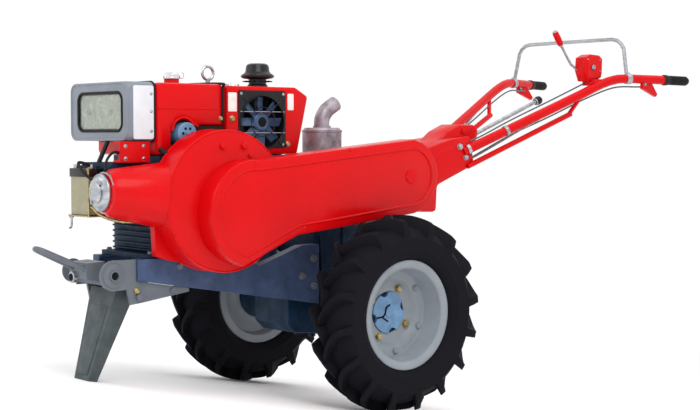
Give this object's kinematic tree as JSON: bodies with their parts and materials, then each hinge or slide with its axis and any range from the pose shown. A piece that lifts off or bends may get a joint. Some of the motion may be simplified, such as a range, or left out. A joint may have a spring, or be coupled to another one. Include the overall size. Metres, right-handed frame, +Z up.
{
  "type": "walking tractor",
  "caption": "Diesel walking tractor with belt drive, lug-tyred wheels, long handlebars, radiator hood, box headlamp and a folding front stand.",
  "frame": {"origin": "on the floor under the middle of the object's box, as it stands parked", "axes": "+X towards the front stand, +Y to the driver's left, +Z up"},
  "size_m": [2.4448, 0.939, 1.4427],
  "materials": {
    "red_enamel": "gloss enamel",
    "grey_enamel": "satin enamel",
    "navy_enamel": "satin enamel on castings",
    "tyre_rubber": "matte",
    "rim_enamel": "silver enamel",
    "blue_enamel": "satin enamel",
    "lamp_enamel": "silver enamel",
    "lens_glass": "clear pressed glass",
    "black_plastic": "matte",
    "grip_rubber": "matte",
    "bare_steel": "satin",
    "chrome_plate": "polished",
    "pulley_iron": "as cast",
    "heated_steel": "heat darkened",
    "yellow_zinc": "yellow passivated zinc",
    "olive_plastic": "matte"
  },
  "bodies": {
    "chassis": {"axle_tube_left": "navy_enamel", "axle_tube_right": "navy_enamel", "gearbox_case": "navy_enamel", "clutch_pulley": "pulley_iron", "frame_rail_left": "grey_enamel", "frame_rail_right": "grey_enamel", "front_bracket": "grey_enamel", "tow_loop": "grey_enamel", "engine_block": "navy_enamel", "flywheel_guard": "red_enamel", "belt_cover": "red_enamel", "starter_cover": "red_enamel", "starter_motor": "bare_steel", "battery_tray": "yellow_zinc", "battery": "olive_plastic", "fuel_tank": "red_enamel", "filler_cap": "chrome_plate", "lifting_eye": "bare_steel", "alternator": "blue_enamel", "headlamp_housing": "lamp_enamel", "headlamp_lens": "lens_glass", "lamp_bracket": "red_enamel", "radiator_hood": "red_enamel", "fan_shroud": "black_plastic", "air_precleaner": "black_plastic", "muffler": "heated_steel", "handle_base": "red_enamel", "handle_left": "red_enamel", "handle_right": "red_enamel", "grip_left": "grip_rubber", "grip_right": "grip_rubber", "guard_hoop": "bare_steel", "control_box": "red_enamel", "clutch_lever": "red_enamel", "gear_lever": "bare_steel", "steering_lever_left": "red_enamel", "steering_lever_right": "red_enamel"},
    "wheel_left": {"tyre_left": "tyre_rubber", "rim_left": "rim_enamel", "hub_left": "blue_enamel"},
    "wheel_right": {"tyre_right": "tyre_rubber", "rim_right": "rim_enamel", "hub_right": "blue_enamel"},
    "fan": {"cooling_fan": "blue_enamel"},
    "stand": {"stand_leg": "grey_enamel"}
  },
  "joints": [
    {"name": "wheel_left_spin", "type": "hinge", "parent": "chassis", "child": "wheel_left", "pos_m": [0.14436, 0.387, 0.312], "axis": [0, 1, 0], "continuous": true},
    {"name": "wheel_right_spin", "type": "hinge", "parent": "chassis", "child": "wheel_right", "pos_m": [0.14436, -0.387, 0.312], "axis": [0, 1, 0], "continuous": true},
    {"name": "fan_spin", "type": "hinge", "parent": "chassis", "child": "fan", "pos_m": [0.56231, 0.115, 0.85063], "axis": [0, 1, 0], "continuous": true},
    {"name": "stand_fold", "type": "hinge", "parent": "chassis", "child": "stand", "pos_m": [0.92564, 0, 0.26411], "axis": [0, 1, 0], "range_deg": [0, 105]}
  ]
}
